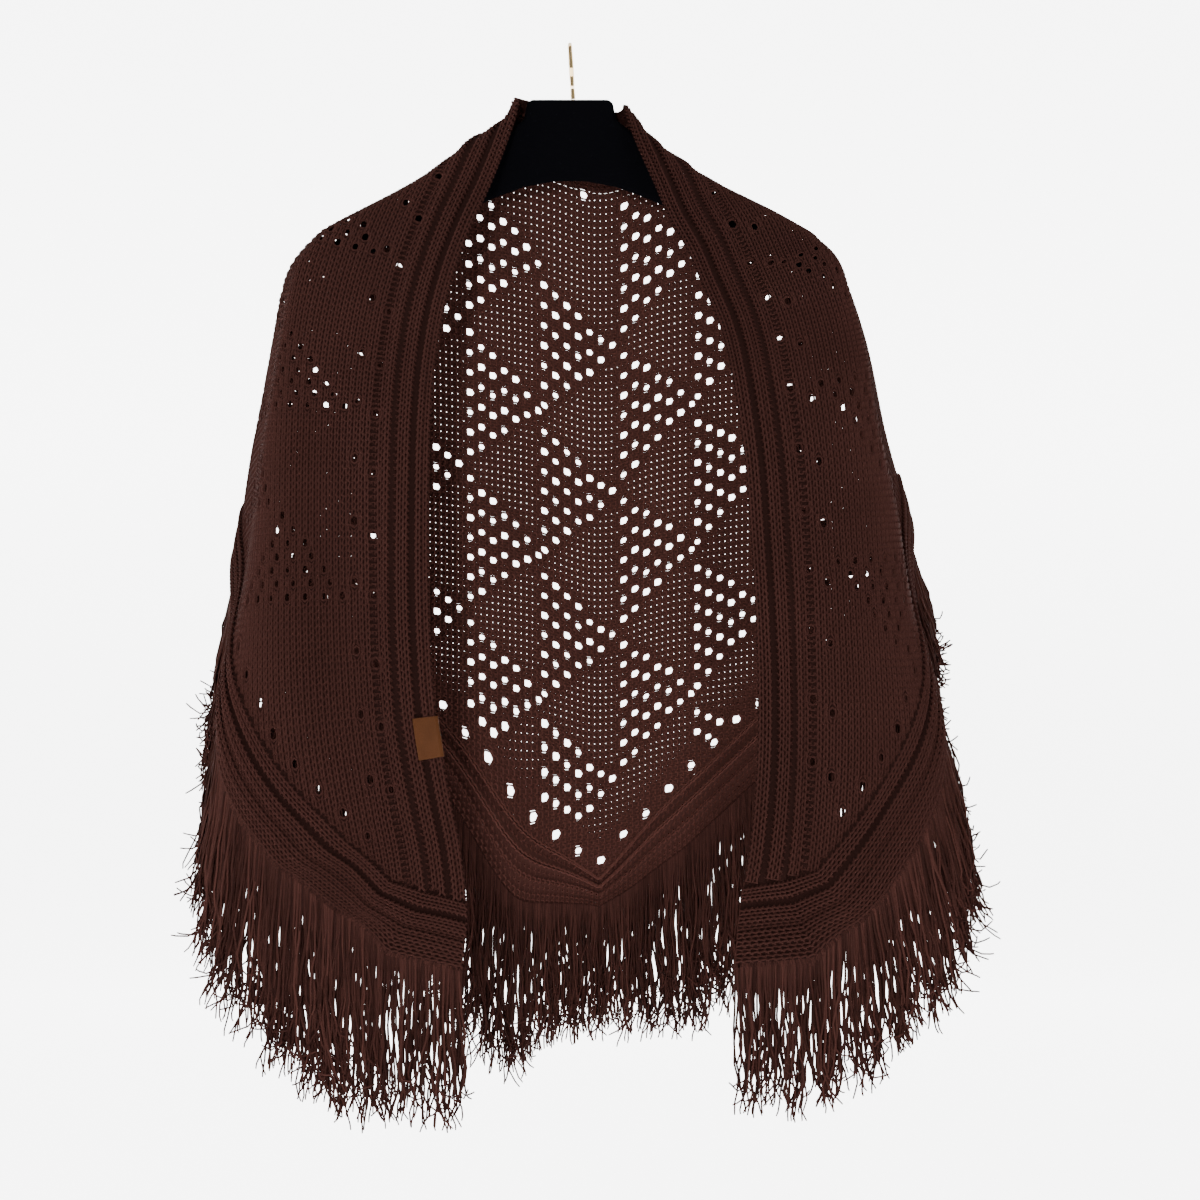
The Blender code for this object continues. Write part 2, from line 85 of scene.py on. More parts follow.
# How far the ribs stand out, by the distance from the seam with the field.
BAND_RIBS = ((0, 0.5), (8, 0.6), (12.5, -0.4), (17, 2.4), (22, 2.4), (26, -0.8), (31, 2.8), (35, 2.8),
             (39, -0.8), (44, 2.9), (49, 2.7), (52, 1.4))
BORDER_RIBS = ((0, -0.6), (5, 2.6), (9, 2.6), (13, -0.8), (18, 2.7), (23, 3.2), (28, 1.6), (33, 3.2),
               (40, 3.2), (44, 1.4), (49, 1.6))
RIB_VALLEY = 0.4  # stitches lower than this are purled
GROUND_RISE = 0.8  # how far the ground follows the ribs, as a share
FIELD_LAP = 0.8  # how far past the border's seam the middle of a field's stitch may lie
LOOP_REACH = 3.6  # how far a loop reaches each way along its wale
LOOP_SWING = 1.25  # how far its legs lean
LOOP_DEPTH = 1.1  # how far its legs stand out before its head and its foot
LOOP_TURNS = 5  # segments in a loop
SIDES = 3  # round any yarn
PINHOLE_AT = (0.39, 0.0)  # where light comes through beside a loop, as shares of a stitch
PINHOLE = 0.06  # its usual radius, as such a share too
PINHOLE_CLEAR = (7.0, 11.0)  # from a fan's eyelet: up to the first there are none, past the second all
PINHOLE_HEM = (20.0, 46.0)  # the same from the border
PINHOLE_FRONT = 0.12  # share of their area on the fronts, where the knitting is tighter

# The lace: columns of fans of eyelets, with the courses of the columns, the wale of the first eyelet, the
# wales from one line of eyelets to the next and those along a line. Lines are two courses apart.
FANS = (
    ((-106, -78, -50, -23, 4, 29, 53, 78, 104), 20, -1.4, -3),
    ((-92, -64, -37, -10, 17, 41, 66, 91, 117), 15, 1.15, 3),
)
FAN_SIZE = 7  # lines in a fan, and eyelets in its first line
FANS_DOWN, FAN_REPEAT = 4, 22  # fans in a column, and wales from one to the next
FAN_CLEAR, EDGE_CLEAR = 16.0, 4.0  # from the border: of fans, and of other eyelets
PAIRS = (-133, 9.2, 30)  # pairs of eyelets beside the band: the first course, their spacing and number
PAIR = ((-1, -3), (1, 0))  # course and wale of each of a pair
HEM_EYELET_STEP, HEM_EYELET_IN = 4, 8.0  # in courses along the border, and how far before it
HEM_COURSES = 160  # how far each way they are looked for, in courses
# An eyelet's radius to the middle of the yarn round it, and how far round it the stitches give way.
FAN_EYELET = (3.75, 5.6)
EDGE_EYELET = (4.2, 7.0)
EYELET_FLAT = 0.84  # its height by its width
EYELET_YARN = 1.9  # thickness of the yarn round it
FRONT_FROM, FRONT_SIZE = 260.0, 0.92  # eyelets past this distance are drawn tighter by the cloth's weight
EYELET_UNEVEN, UNEVEN_TURN = 0.12, 2.4  # how much their sizes vary, and the turn from each to the next
RIM_TURNS = 6  # segments in the yarn round an eyelet

# The fringe.
FRINGE_SEED = 11
STRAND_ROOT, STRAND_KNEE = -1.5, 2.5  # where strands begin and bend down, from the border's outer edge
STRAND_TURNS = 11  # points along a strand, from its bend to its end
STRAND_CLOSER = 1.5  # the power by which they lie closer towards its end
STRAND_SHORTER, LOCK_SHORTER = 0.32, 0.12  # the most by which a strand and a lock are shorter, as shares
STRAND_LAYERS, LAYERS_SOON = 4.0, 3  # how far before or behind the middle they lie, and how soon
STRAND_TAPER = ((0.0, 1.6), (0.55, 1.5), (0.9, 1.2), (1.0, 1.0))  # share of its length, of its thickness
STRAND_WAVES = ((30.0, 1.5), (95.0, 4.6))  # period and reach
LOCK_WAVES = ((75.0, 0.7), (170.0, 2.0))  # of the strands that fall together
WAVE_SIZES = (0.4, 1.3)  # the least and the most of a wave's reach, as shares
LOCK_STRANDS = 13  # strands in a lock
LOCK_DRAWN, DRAWN_SOON = 0.05, 1.6  # how far a lock's strands draw together, and how soon
CURL_FROM = 0.8  # share of a strand's length after which it curls
CURL = 2.8  # the most that its end turns, in radians
CURL_WIDTH, CURL_DEPTH = 0.7, 0.3  # share of the curl from side to side, and from front to back
STRAND_DEPTH = 0.5  # share of the waves from front to back
# The fringe's length on the left and on the right, by u.
FRINGE_LENGTH = {
    -1: ((0, 112), (30, 118), (60, 142), (100, 186), (200, 170), (400, 145), (560, 140),
         (620, 150), (682, 162), (713, 162), (744, 128)),
    1: ((0, 112), (30, 130), (62, 152), (93, 166), (200, 155), (400, 115), (540, 108),
        (589, 120), (650, 128), (682, 122), (713, 132), (744, 118)),
}
SPREAD = {-1: 0.12, 1: 0.2}  # how far it swings outwards at the sides, for each millimetre of length
SPREAD_FROM, SPREAD_OVER = 190.0, 75.0  # from the middle: where this begins, and over how far it grows

# The drape, as in the solids, on the left (-1) and on the right (1).
# The long edge down the front: its u, and how far out (x) and how high (z) it hangs there.
EDGE = {
    -1: ((62, 36, -44), (108, 50, -85), (143, 61, -114), (184, 75, -147), (222, 86, -178),
         (265, 95, -213), (302, 100, -244), (358, 104, -291), (452, 105, -394), (521, 103, -469),
         (566, 99, -518), (625, 88, -581), (658, 81, -615), (706, 76, -666), (744, 79, -705)),
    1: ((30, 40, -48), (70, 50, -77), (118, 65, -112), (155, 76, -138), (196, 91, -166),
        (229, 100, -188), (285, 115, -225), (344, 124, -265), (407, 133, -332), (446, 136, -375),
        (512, 140, -446), (617, 140, -561), (670, 135, -617), (716, 127, -667), (744, 124, -702)),
}
# The outline from the front: its height, and how far out it is. It first runs along the hanger.
OUTLINE = {
    -1: ((-43, 38), (-57, 49), (-76, 78), (-105, 119), (-134, 174), (-148, 204), (-169, 220),
         (-190, 225), (-218, 229), (-265, 237), (-318, 247), (-400, 259), (-462, 271),
         (-516, 279), (-600, 286), (-700, 290)),
    1: ((-43, 38), (-60, 52), (-76, 66), (-102, 102), (-133, 163), (-150, 194), (-166, 208),
        (-190, 217), (-228, 229), (-299, 244), (-361, 260), (-424, 271), (-502, 289),
        (-540, 298), (-600, 306), (-700, 317)),
}
SIDE_ROWS = 5  # the row at which it turns from the hanger down the side
EDGE_STEP = 8.0  # either way, to find the edge's direction
SHOULDER = {-1: (230, 98, 0.737, 0.676), 1: (226, 110, 0.72, 0.69)}  # u and v of its top, and the way down
JOIN_FROM, JOIN_OVER = -20.0, 70.0  # how far below it front and back come to one level, and over what
LEVEL_SOFT, LEVEL_SOFTER, SOFTER_FROM = 5.0, 0.33, 10.0  # how softly, and how much more so further down
NECK_X, NECK_Z = 23.0, -52.0  # where the middle of the long edge hangs behind the neck
NECK_RISE, NECK_RISE_WIDTH = 10.0, 35.0  # how much higher the edge is beside that middle
BACK_LIFT, LIFT_FROM, LIFT_SOFT = 0.14, 20.0, 12.0  # how steeply the back's rows rise, from where on
BACK_STRETCH = 1.067  # of the back, by its own weight
SAG, SAG_U, SAG_WIDTH, SAG_V = 40.0, -72.0, 44.0, (430.0, 560.0)  # how far the hem hangs lower, and where
LAP = 9.5  # from the middle of the hanger to the cloth before and behind it, at the top
FRONT_DEPTH, BACK_DEPTH = 115.0, 95.0  # how much further from it the cloth hangs lower down
DEPTH_REACH = 190.0  # how far below the ridge most of that is reached
TURN_TOP, TURN_LOW = 6.0, 30.0  # how round the side is at the top and further down
TURN_FROM, TURN_OVER = -130.0, 350.0  # the height at which this changes, and over how far
RIDGE_SOFT = 3.0  # how softly the cloth bends over the ridge
RIDGE_UP = (0.54, 0.84)  # x and z of the way up out of the shoulder
NECK_TURN = {-1: (45.0, 15.0), 1: (20.0, 2.0)}  # where by the neck the edge lies further out, and by what
NECK_TURN_WIDTH = (16.0, 20.0)  # how wide that is along u and v
MIDDLE_SOFT = 25.0  # either side of the middle, where the two halves blend
# Folds: face (-1 front, 1 back), x and z of the top, x and z of the end, width and depth.
FOLDS = (
    (-1, -196, -230, -172, -500, 26, 13),
    (-1, -140, -330, -150, -620, 20, 6),
    (-1, 205, -260, 232, -560, 24, 8),
    (-1, 168, -420, 176, -640, 18, 5),
    (1, -165, -210, -196, -520, 30, 14),
    (1, -70, -260, -84, -600, 34, 9),
    (1, 92, -240, 104, -600, 30, 8),
    (1, 178, -220, 215, -560, 30, 13),
)
FOLD_FADE, FOLD_FADE_FROM = 0.6, 0.9  # share of its depth that it loses, and of its length where it does
FOLD_FACE = 1.4  # the more, the further it reaches round the side
SIDE_FOLD = 15.0  # how far the cloth is drawn in before and behind the side

# Tones, as shares of the yarn's colour.
YARN_DARK, YARN_LIGHT = 0.7, 1.32
STRAND_DARK, STRAND_LIGHT = 0.3675, 1.68
# The grounds are darker than the loops: painted shade in the gaps between the loops.
LACE_GROUND_SHADE, RIB_GROUND_SHADE = 0.5, 0.45
# Painted light through the back, which is drawn lighter the further back it lies: from this depth in
# metres, over this much more, and how much lighter it gets.
BACK_FROM, BACK_OVER, BACK_PAINTED_LIGHT = 0.01, 0.05, 2.3
YARN_TOP = YARN_LIGHT * BACK_PAINTED_LIGHT  # the lightest tone of all

# The label and the hanger, in metres: how round their edges are, and the angle past which an edge is sharp.
LABEL_ROUND, HANGER_ROUND = 0.0004, 0.0012
SHARP = 0.6

# The studio, in metres.
FLOOR = -1.25
FLOOR_HALF, FLOOR_NEAR, FLOOR_DEEP = 6.0, -4.0, 9.5  # half its width, its near edge and its depth
WALL_TALL, WALL_BEND = 6.0, 1.2  # the wall's height, and how round it meets the floor
CAMERA_X, CAMERA_Z = 0.0234, -0.4313
LENS = 100.0
AIM = (0.0, 0.0, -0.45)
# Lights: name, place, size and share of the main light's power.
LIGHTS = (("front", (-0.42, -3.2, 0.1), 0.3, 1.0), ("top", (0.35, -0.95, 2.3), 1.0, 0.7),
          ("left", (-2.2, 0.0, 0.5), 1.0, 0.4), ("right", (2.2, -0.6, 1.0), 1.0, 0.2),
          ("back", (0.0, 1.6, 1.6), 2.0, 0.15))


class ShawlYarn(bpy.types.PropertyGroup):
    colour: FloatVectorProperty(
        name="Yarn", description="Colour of the yarn", subtype="COLOR", size=3, min=0, max=1,
        default=(0.0143, 0.0053, 0.0042))
    thickness: FloatProperty(
        name="Yarn thickness", description="Thickness of the knitted yarn", unit="LENGTH",
        default=0.0021, min=0.001, max=0.004)
    strand: FloatProperty(
        name="Strand thickness", description="Thickness of a strand of the fringe", unit="LENGTH",
        default=0.0012, min=0.0005, max=0.003)
    strands: IntProperty(
        name="Strands", description="Strands along each metre of the fringe", default=2000, min=50,
        max=2100)


class ShawlTrim(bpy.types.PropertyGroup):
    leather: FloatVectorProperty(
        name="Leather", description="Colour of the leather label", subtype="COLOR", size=3, min=0,
        max=1, default=(0.0255, 0.0092, 0.0034))
    velvet: FloatVectorProperty(
        name="Velvet", description="Colour of the hanger's velvet", subtype="COLOR", size=3, min=0,
        max=1, default=(0.0009, 0.0009, 0.0012))
    wire: FloatVectorProperty(
        name="Wire", description="Colour of the hook's wire", subtype="COLOR", size=3, min=0, max=1,
        default=(0.72, 0.52, 0.26))


class ShawlStudio(bpy.types.PropertyGroup):
    backdrop: FloatVectorProperty(
        name="Backdrop", description="Colour of the floor and the wall", subtype="COLOR", size=3,
        min=0, max=1, default=(0.93, 0.93, 0.93))
    power: FloatProperty(
        name="Main light", description="Power of the front light in watts", default=150.0, min=0,
        max=500)
    distance: FloatProperty(
        name="Camera distance", description="From the hanger to the camera", unit="LENGTH",
        default=2.6, min=1, max=6)
    ambient: FloatProperty(
        name="Ambient light", description="Strength of the light from all round", default=0.22, min=0,
        max=5)
    glow: FloatProperty(
        name="Backdrop light", description="Strength of the backdrop's own light", default=5.0, min=0,
        max=20)


def smooth(table, column, at):
    """Reads a column of a table on a smooth curve through its rows, running straight on past the ends."""
    rows = np.array(table, float)
    x, y = rows[:, 0], rows[:, column]
    if x[0] > x[-1]:
        x, y = x[::-1], y[::-1]
    slope = np.gradient(y, x)
    i = np.clip(np.searchsorted(x, at) - 1, 0, len(x) - 2)
    step = x[i + 1] - x[i]
    along = (at - x[i]) / step
    t = np.clip(along, 0, 1)
    start, end = slope[i] * step, slope[i + 1] * step
    inside = (
        y[i] * (1 + 2 * t) * (1 - t) ** 2
        + start * t * (1 - t) ** 2
        + y[i + 1] * t * t * (3 - 2 * t)
        + end * t * t * (t - 1)
    )
    return inside + start * np.minimum(along, 0) + end * np.maximum(along - 1, 0)


def soft_step(t):
    t = np.clip(t, 0, 1)
    return t * t * (3 - 2 * t)


def soft_plus(value, softness):
    return softness * np.logaddexp(0, value / softness)


def ridge_height(side, x):
    """Height of the cloth's ridge over the hanger, at a distance x from the middle."""
    rows = [(half, z) for z, half in OUTLINE[side][:SIDE_ROWS + 1]]
    return smooth(rows, 1, np.clip(x, rows[0][0], rows[-1][0]))


def clamp_to_outline(side, x, z):
    """Brings points outside the shawl's outline back to it, with how far outside it they were."""
    wide = smooth(OUTLINE[side][SIDE_ROWS:], 1, np.minimum(z, OUTLINE[side][SIDE_ROWS][0]))
    turn = TURN_TOP + (TURN_LOW - TURN_TOP) * soft_step((TURN_FROM - z) / TURN_OVER)
    past_side = soft_plus(x - wide, turn)
    x = x - past_side
    past_ridge = soft_plus((z - ridge_height(side, x)) * RIDGE_UP[1], RIDGE_SOFT)
    return x - past_ridge * RIDGE_UP[0], z - past_ridge * RIDGE_UP[1], past_side + past_ridge


def hang_side(side, u, v):
    """Where one side of the shawl hangs: side is -1 for the left half and 1 for the right."""
    a = side * u
    # The front hangs from its edge, with its rows at right angles to that edge.
    edge_x, edge_z = smooth(EDGE[side], 1, a), smooth(EDGE[side], 2, a)
    run_x, run_z = (smooth(EDGE[side], column, a + EDGE_STEP) - smooth(EDGE[side], column, a - EDGE_STEP)
                    for column in (1, 2))
    run = np.hypot(run_x, run_z)
    front_x = edge_x - v * run_z / run
    front_z = edge_z + v * run_x / run
    # The back hangs from the neck, with its rows level but for their rise towards the sides.
    back_x = a + side * NECK_X
    rise = NECK_RISE * (1 - np.exp(-((a / NECK_RISE_WIDTH) ** 2)))
    rise = rise + BACK_LIFT * soft_plus(a - LIFT_FROM, LIFT_SOFT)
    sag_share = soft_step((v - SAG_V[0]) / (SAG_V[1] - SAG_V[0]))
    sag = SAG * np.exp(-(((u - SAG_U) / SAG_WIDTH) ** 2)) * sag_share
    back_z = NECK_Z + rise - BACK_STRETCH * v - sag
    # Below the shoulder the rows of the front and the back meet at one level round the side.
    top_u, top_v, down_u, down_v = SHOULDER[side]
    below = (a - top_u) * down_u + (v - top_v) * down_v
    softness = LEVEL_SOFT + LEVEL_SOFTER * soft_plus(below, SOFTER_FROM)
    level = -softness * np.logaddexp(-front_z / softness, -back_z / softness)
    level_share = soft_step((below - JOIN_FROM) / JOIN_OVER)
    front_z = front_z + (level - front_z) * level_share
    back_z = back_z + (level - back_z) * level_share
    front_x, front_z, past_front = clamp_to_outline(side, front_x, front_z)
    back_x, back_z, past_back = clamp_to_outline(side, back_x, back_z)
    behind = past_front / (past_front + past_back)
    x = front_x + (back_x - front_x) * behind
    z = front_z + (back_z - front_z) * behind
    out = 1 - np.exp(-soft_plus(ridge_height(side, x) - z, RIDGE_SOFT) / DEPTH_REACH)
    depth_front, depth_back = LAP + FRONT_DEPTH * out, LAP + BACK_DEPTH * out
    y = -depth_front + (depth_front + depth_back) * behind
    x = x - SIDE_FOLD * out * np.sin(2 * math.pi * behind) ** 2
    turn_at, push = NECK_TURN[side]
    wide, deep = NECK_TURN_WIDTH
    x = x + push * np.exp(-(((a - turn_at) / wide) ** 2) - (v / deep) ** 2)
    return np.stack([side * x, y, z], -1), behind


def hang(u, v):
    """The shawl's middle surface at (u, v), in millimetres."""
    left, left_round = hang_side(-1, u, v)
    right, right_round = hang_side(1, u, v)
    share = soft_step((u + MIDDLE_SOFT) / (2 * MIDDLE_SOFT))
    place = left + (right - left) * share[..., None]
    behind = left_round + (right_round - left_round) * share
    for face, x0, z0, x1, z1, width, depth in FOLDS:
        along = (z0 - place[..., 2]) / (z0 - z1)
        from_fold = (place[..., 0] - x0 - (x1 - x0) * along) / width
        length = soft_step(along * 3) * (1 - FOLD_FADE * soft_step((along - FOLD_FADE_FROM) * 2))
        on_face = soft_step(FOLD_FACE - 2 * (behind if face < 0 else 1 - behind))
        place[..., 1] -= face * depth * np.exp(-(from_fold**2)) * length * on_face
    return place


def surface(u, v):
    """The shawl's middle surface at (u, v) and its outward direction there."""
    step = 0.5
    along_u = hang(u + step, v) - hang(u - step, v)
    along_v = hang(u, v + step) - hang(u, v - step)
    out = np.cross(along_u, along_v)
    out /= np.maximum(np.linalg.norm(out, axis=-1, keepdims=True), 1e-9)
    return hang(u, v), out


def border_line():
    """The border's stations from the apex to the tip: inner points, outer points, distances along it."""
    inner, outer = [], []
    for k, steps in enumerate(BORDER_STEPS):
        for step in range(steps + (k == len(BORDER_STEPS) - 1)):
            share = step / steps
            for line, points in ((inner, BORDER_INNER), (outer, BORDER_OUTER)):
                line.append([a + (b - a) * share for a, b in zip(points[k], points[k + 1])])
    inner, outer = np.array(inner), np.array(outer)
    steps = np.linalg.norm(np.diff((inner + outer) / 2, axis=0), axis=1)
    return inner, outer, np.concatenate([[0], np.cumsum(steps)])


INNER, OUTER, ALONG = border_line()


def on_band(p, q):
    """The flat point at p along the long edge and q from the band's seam towards that edge."""
    return round_eyelets(p, BAND - q)


def on_border(p, q):
    """The flat point at p along the border from the apex, below 0 to its left, and q from its seam."""
    ends = [[np.interp(abs(p), ALONG, line[:, c]) for c in (0, 1)] for line in (INNER, OUTER)]
    u, v = (a + (b - a) * q / BORDER_WIDE for a, b in zip(*ends))
    reach, width = APEX_ROUND
    return np.copysign(u, p), v - reach * q / BORDER_WIDE * np.exp(-((u / width) ** 2))


def hem_distance(u, v):
    """How far a flat point lies inside the seam of the border along the short sides."""
    return (FIELD_APEX - HEM_SLOPE * abs(u) - v) / math.hypot(1, HEM_SLOPE)


FIELD_START = BAND + BAND / RIB_COLUMNS / 2


def stitch_middle(course, wale):
    """The flat point in the middle of a stitch of the field. Course 0 begins beside the shawl's middle."""
    return (course + 0.5) * COURSE + FIELD_SHIFT, FIELD_START + (wale + 0.5) * WALE


def lace_eyelets():
    """The eyelets of the fans, and those beside the band and the border: rows of u, v, radius and reach."""
    fans, edges = [], []
    for courses, wale, slope, row in FANS:
        for course in courses:
            for down in range(FANS_DOWN):
                first = wale + down * FAN_REPEAT
                fans += [(course + 2 * i, first + round(slope * i) + row * j)
                         for i in range(FAN_SIZE) for j in range(FAN_SIZE - i)]
    first, step, count = PAIRS
    for k in range(count):
        edges += [(round(first + step * k) + course, wale) for course, wale in PAIR]
    for course in range(-HEM_COURSES, HEM_COURSES, HEM_EYELET_STEP):
        u, _ = stitch_middle(course, 0)
        line = FIELD_APEX - HEM_SLOPE * abs(u) - HEM_EYELET_IN * math.hypot(1, HEM_SLOPE)
        wale = math.floor((line - FIELD_START) / WALE - 0.5)
        if wale >= 1:
            edges.append((course, wale))
    found = []
    for stitches, clear, size in ((fans, FAN_CLEAR, FAN_EYELET), (edges, EDGE_CLEAR, EDGE_EYELET)):
        u, v = stitch_middle(*np.array(stitches).T)
        inside = hem_distance(u, v) > clear
        found.append(np.stack([u[inside], v[inside]] + [np.full(inside.sum(), part) for part in size], -1))
    is_fan = np.repeat([True, False], [len(some) for some in found])
    found = np.concatenate(found)
    uneven = 1 + EYELET_UNEVEN * np.sin(UNEVEN_TURN * np.arange(len(found)))
    found[:, 2] *= uneven * np.where(abs(found[:, 0]) > FRONT_FROM, FRONT_SIZE, 1.0)
    return found, is_fan


EYELETS, IS_FAN = lace_eyelets()


def from_nearest(eyelets, u, v):
    """The way from the nearest eyelet to each (u, v), with its radius and its reach."""
    found = np.full((4,) + u.shape, 1e6)
    for row in eyelets[(eyelets[:, 0] > u.min() - 10) & (eyelets[:, 0] < u.max() + 10)]:
        du, dv = u - row[0], v - row[1]
        nearer = np.hypot(du, dv) < np.hypot(found[0], found[1])
        found[0][nearer], found[1][nearer] = du[nearer], dv[nearer]
        found[2][nearer], found[3][nearer] = row[2], row[3]
    return found


def round_eyelets(u, v):
    """The flat point that a point of the even grid of stitches gives way to round the eyelets."""
    du, dv, radius, reach = from_nearest(EYELETS, u, v)
    away = np.maximum(np.hypot(du, dv / EYELET_FLAT), 1e-3)
    push = np.where(away < reach, radius + (reach - radius) * away / reach - away, 0) / away
    return u + du * push, v + dv * push


def off_eyelets(u, v):
    """Whether a stitch is knitted: one is left out for each eyelet."""
    du, dv, _, _ = from_nearest(EYELETS, u, v)
    return (abs(du) > COURSE / 2) | (abs(dv) > WALE / 2)


class Knitting:
    """A stretch of knitting: loops run along p, in columns side by side along q, from first to last."""

    def __init__(self, where, first, last, start, columns, pitch, ribs=None):
        self.where = where
        self.first = first
        self.courses = round((last - first) / COURSE)
        self.course = (last - first) / self.courses
        self.start = start
        self.columns = columns
        self.pitch = pitch
        self.ribs = ribs

    def place(self, along, across):
        """The p and q of a cell's middle, or of any point counted in cells."""
        return self.first + along * self.course, self.start + across * self.pitch

    def rise(self, q):
        """How far the ribs stand out at q."""
        return smooth(self.ribs, 1, np.clip(q, 0, self.ribs[-1][0])) if self.ribs else np.zeros(q.shape)

    def purl(self, q):
        """Whether a column of loops lies in the valley between two ribs, and so shows its back."""
        return self.rise(q) < RIB_VALLEY if self.ribs else np.zeros(q.shape, bool)


def keep_field(p, q):
    return (hem_distance(p, q) > -FIELD_LAP) & off_eyelets(p, q)


def keep_band(p, q):
    shorter = np.interp(q, (0, BAND), (CELLS * CELL_U, BORDER_INNER[-1][0]))
    return (abs(p) < shorter) & off_eyelets(p, BAND - q)


def keep_all(p, q):
    return np.ones(p.shape, bool)


class Socket:
    """A shader value that takes part in sums, so that node maths reads as formulas."""

    def __init__(self, tree, output):
        self.tree = tree
        self.output = output

    def math(self, operation, *others):
        return join_math(self.tree, operation, self, *others)

    def __add__(self, other):
        return self.math("ADD", other)

    __radd__ = __add__

    def __sub__(self, other):
        return self.math("SUBTRACT", other)

    def __rsub__(self, other):
        return join_math(self.tree, "SUBTRACT", other, self)

    def __mul__(self, other):
        return self.math("MULTIPLY", other)

    __rmul__ = __mul__

    def __truediv__(self, other):
        return self.math("DIVIDE", other)

    def __rtruediv__(self, other):
        return join_math(self.tree, "DIVIDE", other, self)


def join_math(tree, operation, *values):
    node = tree.nodes.new("ShaderNodeMath")
    node.operation = operation
    for slot, value in zip(node.inputs, values):
        if isinstance(value, Socket):
            tree.links.new(value.output, slot)
        else:
            slot.default_value = value
    return Socket(tree, node.outputs[0])


class Finish:
    """A new material round its Principled shader."""

    def __init__(self, name, colour, roughness, metallic=0.0):
        self.material = bpy.data.materials.new(name)
        self.material.use_nodes = True
        self.tree = self.material.node_tree
        self.shader = self.tree.nodes["Principled BSDF"]
        self.set("Base Color", (*colour, 1))
        self.set("Roughness", roughness)
        self.set("Metallic", metallic)

    def set(self, name, value):
        if isinstance(value, Socket):
            self.tree.links.new(value.output, self.shader.inputs[name])
        else:
            self.shader.inputs[name].default_value = value

    def node(self, kind, settings=None, inputs=None, output=0):
        """Adds a node with its settings and inputs, and gives one of its outputs."""
        node = self.tree.nodes.new(kind)
        for name, value in (settings or {}).items():
            setattr(node, name, value)
        for name, value in (inputs or {}).items():
            if isinstance(value, Socket):
                self.tree.links.new(value.output, node.inputs[name])
            else:
                node.inputs[name].default_value = value
        return Socket(self.tree, node.outputs[output])

    def place(self):
        return self.node("ShaderNodeTexCoord", output="Object")

    def noise(self, scale, detail=2.0):
        inputs = {"Vector": self.place(), "Scale": scale, "Detail": detail}
        return self.node("ShaderNodeTexNoise", inputs=inputs)

    def blend(self, share, first, second):
        """A colour between two, by a value from 0 to 1."""
        inputs = {0: share, 6: (*first, 1), 7: (*second, 1)}
        return self.node("ShaderNodeMix", {"data_type": "RGBA"}, inputs, 2)

    def bump(self, height, distance, strength=1.0):
        inputs = {"Height": height, "Distance": distance, "Strength": strength}
        self.set("Normal", self.node("ShaderNodeBump", inputs=inputs))


def tone(colour, factor):
    return tuple(min(1.0, channel * factor) for channel in colour)


def spun_finish(name, darkness=1.0):
    """Matte spun yarn with a fine fuzz: its finish, still of one colour, and that colour."""
    colour = tone(bpy.context.scene.shawl_yarn.colour, darkness)
    finish = Finish(name, colour, 0.92)
    finish.set("Specular IOR Level", 0.02)
    finish.set("Sheen Weight", 0.3)
    finish.set("Sheen Roughness", 0.45)
    finish.set("Sheen Tint", (*tone(colour, 4.5), 1))
    finish.bump(finish.noise(1500.0, 3.0), 0.0006, 0.6)
    return finish, colour


def yarn_finish(name, darkness=1.0):
    """The knitted yarn. It is painted lighter at the back: painted light for the light that comes through
    it.
    """
    finish, colour = spun_finish(name, darkness)
    patches = finish.noise(16.0) * 0.45 + finish.noise(380.0) * 0.55
    depth = finish.node("ShaderNodeSeparateXYZ", inputs={"Vector": finish.place()}, output=1)
    # Painted light: the further back the yarn lies, the lighter its colour.
    behind = ((depth - BACK_FROM) / BACK_OVER).math("MAXIMUM", 0.0).math("MINIMUM", 1.0)
    share = patches * (YARN_LIGHT - YARN_DARK) + YARN_DARK
    share = share * (behind * (BACK_PAINTED_LIGHT - 1) + 1) / YARN_TOP
    finish.set("Base Color", finish.blend(share, (0, 0, 0), tone(colour, YARN_TOP)))
    return finish


def strands_finish():
    """The fringe's yarn, of which each strand has its own shade."""
    finish, colour = spun_finish("yarn_strands")
    shade = finish.node("ShaderNodeAttribute", {"attribute_name": "shade"}, output=2)
    shade = shade * 0.75 + finish.noise(60.0) * 0.25
    finish.set("Base Color", finish.blend(shade, tone(colour, STRAND_DARK), tone(colour, STRAND_LIGHT)))


def lace_ground_finish():
    """The plies between the field's loops, darker as painted shade between them, with a pinhole beside
    every loop.
    """
    finish = yarn_finish("lace_ground", LACE_GROUND_SHADE)
    cell = finish.node("ShaderNodeSeparateXYZ", inputs={
        "Vector": finish.node("ShaderNodeUVMap", {"uv_map": "cells"})})
    along, across = (Socket(finish.tree, cell.output.node.outputs[k]) for k in (0, 1))
    du = (along + 0.5 - PINHOLE_AT[0]).math("FRACT") - 0.5
    dv = (across + 0.5 - PINHOLE_AT[1]).math("FRACT") - 0.5
    size = finish.node("ShaderNodeAttribute", {"attribute_name": "open"}, output=2)
    size = size * (finish.noise(230.0) * 2.4 - 0.2) * PINHOLE**2
    finish.set("Alpha", (du * du + dv * dv).math("GREATER_THAN", size))
    return finish


def ring_of_tube(runs, outs):
    """Unit directions round each point of many paths, square to the path."""
    runs = runs / np.maximum(np.linalg.norm(runs, axis=-1, keepdims=True), 1e-9)
    side = np.cross(runs, outs)
    side /= np.maximum(np.linalg.norm(side, axis=-1, keepdims=True), 1e-9)
    up = np.cross(side, runs)
    turn = 2 * math.pi * (np.arange(SIDES) + 0.25) / SIDES
    return side[:, :, None] * np.cos(turn)[:, None] + up[:, :, None] * np.sin(turn)[:, None]


